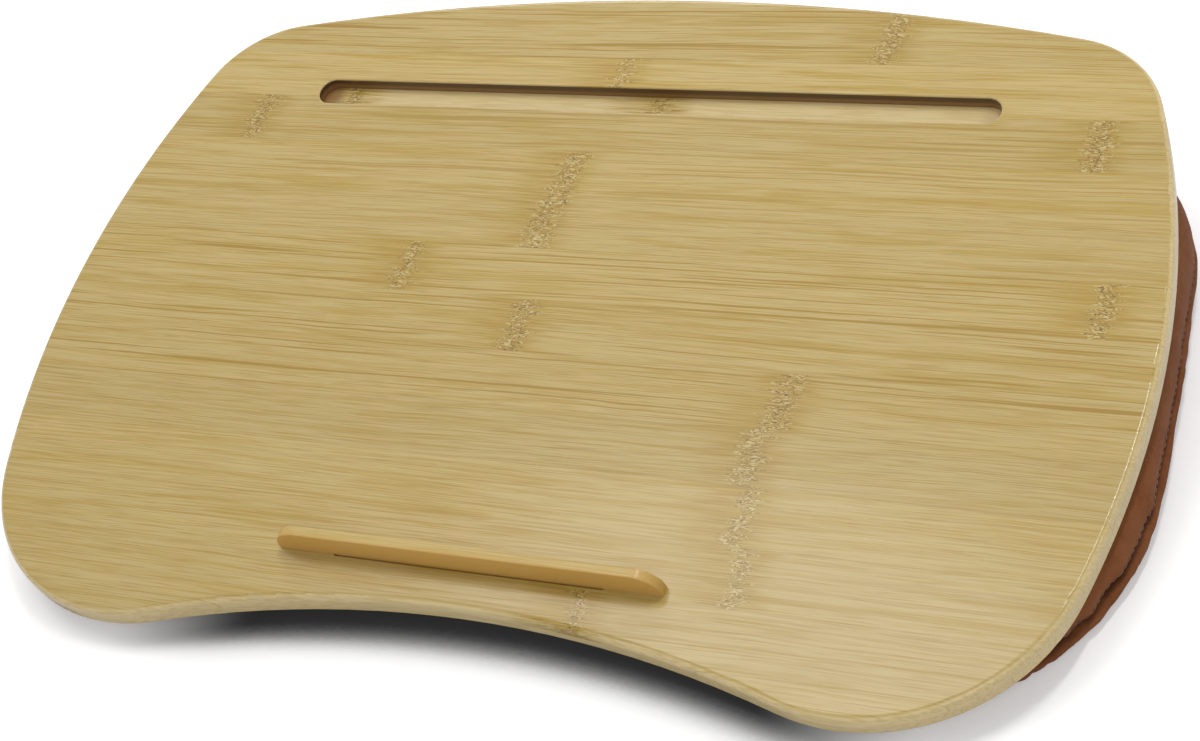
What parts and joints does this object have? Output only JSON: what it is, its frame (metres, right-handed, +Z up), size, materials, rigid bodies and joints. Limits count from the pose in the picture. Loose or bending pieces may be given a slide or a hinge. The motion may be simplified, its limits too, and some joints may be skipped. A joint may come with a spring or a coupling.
{
  "type": "lap tray with cushion",
  "caption": "Laminated bamboo lap tray with a waist curve, tablet groove and stop bar, on a zipped wedge cushion held by hook-and-loop patches.",
  "frame": {"origin": "centre of the whole tray's box, on the surface that the cushion lies on", "axes": "+X across the tray to its right-hand end, +Y from the user's waist to the back, +Z up"},
  "size_m": [0.459, 0.2966, 0.0689],
  "materials": {
    "bamboo_pale": "satin lacquered bamboo, fine grain along the stave",
    "bamboo_warm": "satin lacquered bamboo, slightly darker stave",
    "bamboo_core": "satin lacquered bamboo, lower layer of the board",
    "bamboo_bar": "satin lacquered bamboo, edge grain",
    "cover_cloth": "close brown polyester cloth",
    "liner_cloth": "thin off-white lining",
    "beads": "expanded polystyrene beads",
    "zip_tape": "woven tape",
    "zip_coil": "nylon coil",
    "zip_metal": "antique brass",
    "hook_tape": "nylon hook tape",
    "loop_tape": "brushed loop tape"
  },
  "bodies": {
    "cushion": {"cover_top_panel": "cover_cloth", "cover_band": "cover_cloth", "cover_bottom_panel": "cover_cloth", "liner_bag": "liner_cloth", "bead_fill": "beads", "loop_patches": "loop_tape", "zip_tape_upper": "zip_tape", "zip_tape_lower": "zip_tape", "zip_coil_upper": "zip_coil", "zip_coil_lower": "zip_coil", "zip_stops": "zip_metal"},
    "tray_board": {"stave_01_left": "bamboo_pale", "stave_01_right": "bamboo_warm", "stave_02": "bamboo_pale", "stave_03": "bamboo_warm", "stave_04": "bamboo_pale", "stave_05": "bamboo_warm", "stave_06": "bamboo_pale", "stave_07": "bamboo_warm", "stave_08": "bamboo_pale", "stave_09": "bamboo_warm", "stave_10": "bamboo_pale", "stave_11": "bamboo_warm", "stave_12": "bamboo_pale", "stave_13": "bamboo_warm", "under_stave_01": "bamboo_core", "under_stave_02": "bamboo_core", "under_stave_03": "bamboo_core", "under_stave_04": "bamboo_core", "under_stave_05": "bamboo_core", "under_stave_06": "bamboo_core", "under_stave_07": "bamboo_core", "under_stave_08": "bamboo_core", "under_stave_09": "bamboo_core", "under_stave_10": "bamboo_core", "under_stave_11": "bamboo_core", "under_stave_12": "bamboo_core", "under_stave_13": "bamboo_core", "under_stave_14": "bamboo_core", "stop_bar": "bamboo_bar", "hook_patches": "hook_tape"},
    "zip_slider": {"zip_slider": "zip_metal"},
    "zip_pull": {"zip_pull": "zip_metal"}
  },
  "joints": [
    {"name": "board_lift", "type": "slide", "parent": "cushion", "child": "tray_board", "axis": [0, -0.1736, 0.9848], "range_m": [0, 0.06]},
    {"name": "zip_slide", "type": "hinge", "parent": "cushion", "child": "zip_slider", "pos_m": [0, -0.74909, -0.06008], "axis": [0, -0.1045, 0.9945], "range_deg": [0, 17.1]},
    {"name": "pull_turn", "type": "hinge", "parent": "zip_slider", "child": "zip_pull", "pos_m": [0.13282, 0.12929, 0.03224], "axis": [0, 0.1045, -0.9945], "range_deg": [0, 180]}
  ]
}
